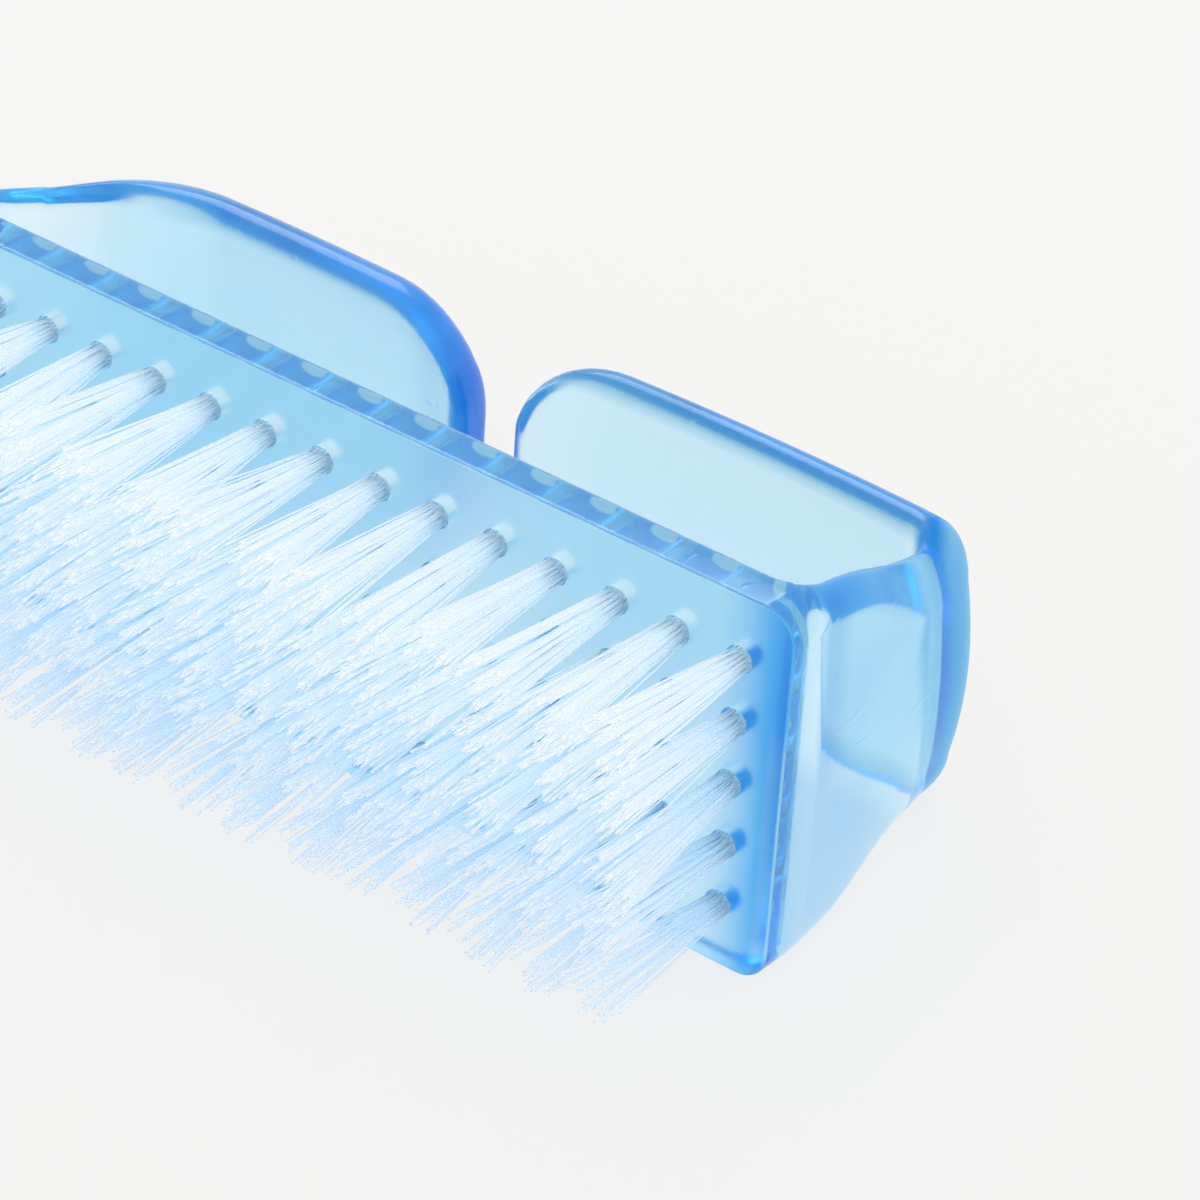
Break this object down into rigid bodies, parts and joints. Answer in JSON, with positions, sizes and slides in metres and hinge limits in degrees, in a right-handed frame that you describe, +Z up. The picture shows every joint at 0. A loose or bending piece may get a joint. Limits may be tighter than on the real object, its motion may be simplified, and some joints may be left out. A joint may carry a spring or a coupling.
{
  "type": "nail brush",
  "caption": "Nail brush moulded in clear blue plastic, with a split strap handle over its back and tufts of clear nylon bristle, lying on its long side.",
  "frame": {"origin": "on the floor, under the middle of the brush as it lies on its long side", "axes": "+X along the brush toward its end with the upright wall, +Y from the bristle tips to the handle's back, level with the floor, +Z up"},
  "size_m": [0.0964, 0.05, 0.0361],
  "materials": {
    "clear_blue_plastic": "clear blue, glossy, lightly scratched",
    "nylon_bristle": "clear nylon filament",
    "anchor_metal": "bright flat wire"
  },
  "bodies": {
    "root": {"body": "clear_blue_plastic", "tuft_column_1": "nylon_bristle", "tuft_column_2": "nylon_bristle", "tuft_column_3": "nylon_bristle", "tuft_column_4": "nylon_bristle", "tuft_column_5": "nylon_bristle", "tuft_column_6": "nylon_bristle", "tuft_column_7": "nylon_bristle", "tuft_column_8": "nylon_bristle", "tuft_column_9": "nylon_bristle", "tuft_column_10": "nylon_bristle", "tuft_column_11": "nylon_bristle", "tuft_column_12": "nylon_bristle", "tuft_column_13": "nylon_bristle", "tuft_column_14": "nylon_bristle", "tuft_column_15": "nylon_bristle", "anchor_column_1": "anchor_metal", "anchor_column_2": "anchor_metal", "anchor_column_3": "anchor_metal", "anchor_column_4": "anchor_metal", "anchor_column_5": "anchor_metal", "anchor_column_6": "anchor_metal", "anchor_column_7": "anchor_metal", "anchor_column_8": "anchor_metal", "anchor_column_9": "anchor_metal", "anchor_column_10": "anchor_metal", "anchor_column_11": "anchor_metal", "anchor_column_12": "anchor_metal", "anchor_column_13": "anchor_metal", "anchor_column_14": "anchor_metal", "anchor_column_15": "anchor_metal"}
  },
  "joints": []
}
